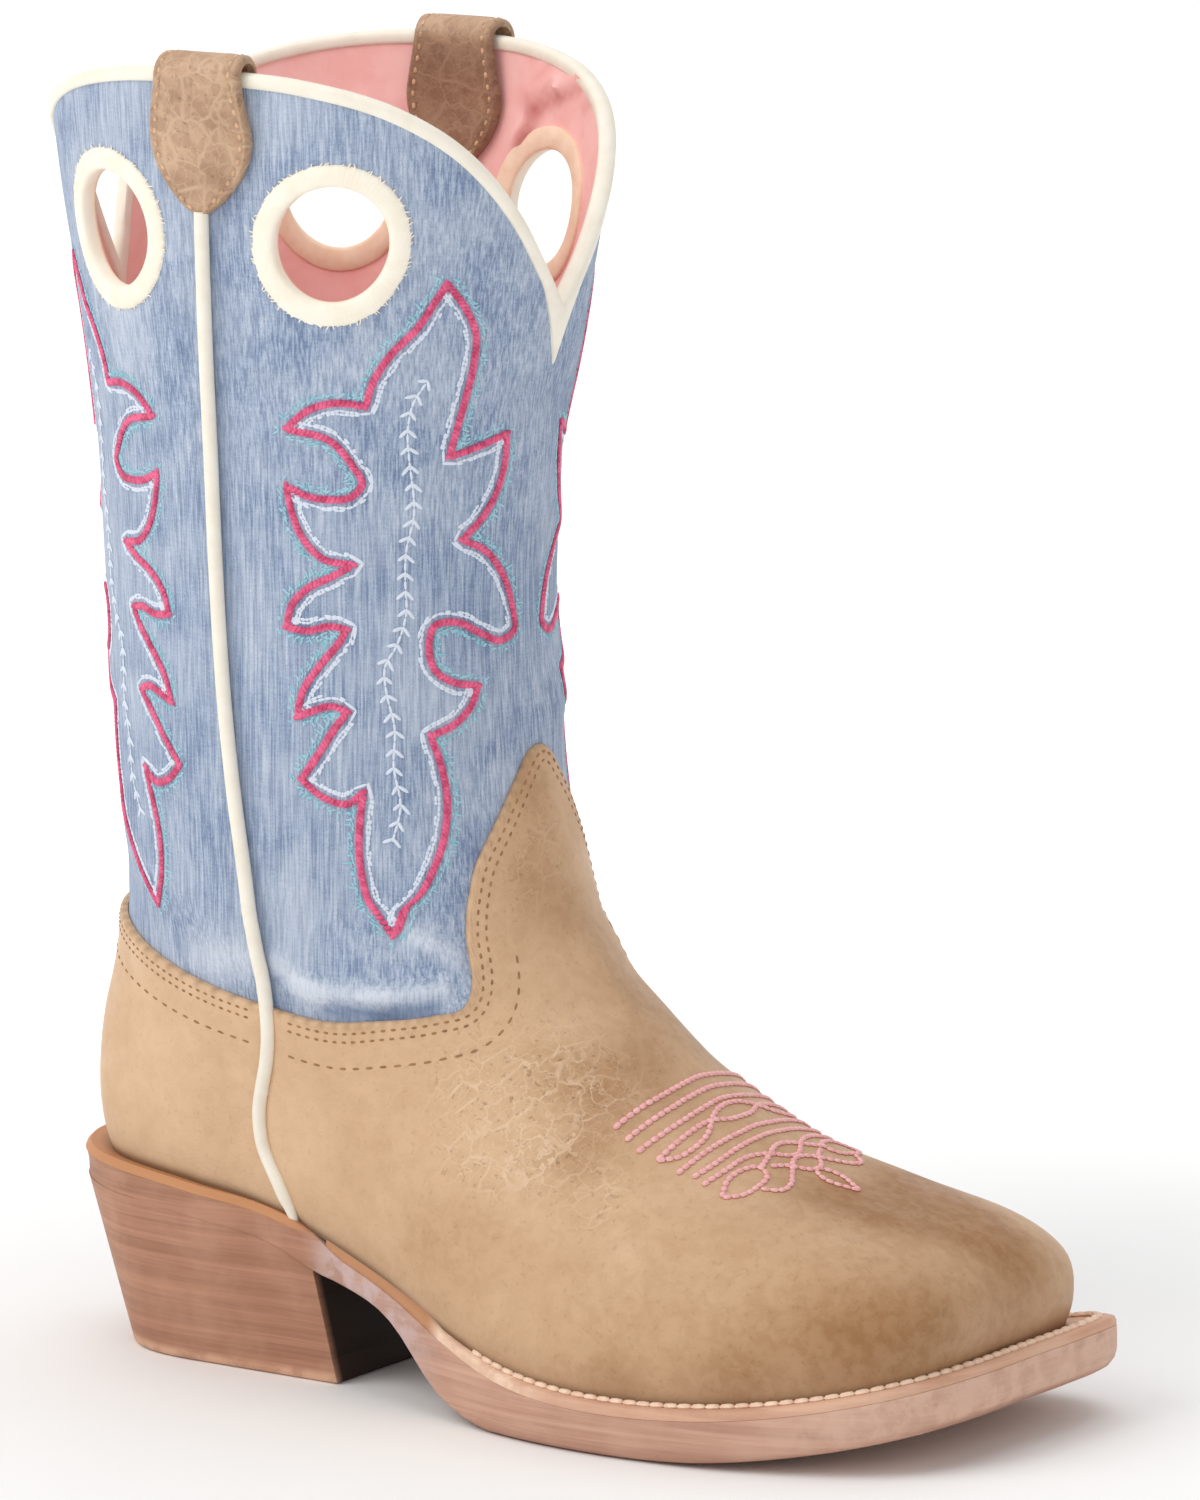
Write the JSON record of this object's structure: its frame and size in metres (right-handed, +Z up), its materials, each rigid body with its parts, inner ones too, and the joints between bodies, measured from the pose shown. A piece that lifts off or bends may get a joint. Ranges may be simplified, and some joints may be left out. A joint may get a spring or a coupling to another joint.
{
  "type": "western boot",
  "caption": "Child's right western boot: hollow denim shaft with scalloped collar and pull holes, leather vamp and counter, stitched welt, arched leather sole and stacked heel.",
  "frame": {"origin": "on the floor under the middle of the boot's box", "axes": "+X to the toe, +Y to the inner side of a right foot, +Z up the shaft"},
  "size_m": [0.2208, 0.1014, 0.2707],
  "materials": {
    "denim": "washed blue denim with upright slubs",
    "tan_leather": "distressed tan leather, soft sheen",
    "strap_leather": "mottled brown leather",
    "cream_piping": "smooth cream binding and cord",
    "cream_thread": "cream satin stitching",
    "insole_leather": "plain insole leather",
    "welt_leather": "peach welt leather, stitched",
    "sole_leather": "pinkish brown sole leather",
    "heel_leather": "stacked heel, reddish brown with darker layers",
    "heel_cap_leather": "paler last lift"
  },
  "bodies": {
    "root": {"upper": "denim", "vamp": "tan_leather", "counter": "tan_leather", "pull_strap_outer": "strap_leather", "pull_strap_inner": "strap_leather", "collar_piping": "cream_piping", "side_piping_outer": "cream_piping", "side_piping_inner": "cream_piping", "hole_ring_outer_front": "cream_thread", "hole_ring_outer_back": "cream_thread", "hole_ring_inner_front": "cream_thread", "hole_ring_inner_back": "cream_thread", "insole": "insole_leather", "welt": "welt_leather", "outsole": "sole_leather", "heel": "heel_leather", "heel_cap": "heel_cap_leather"}
  },
  "joints": []
}
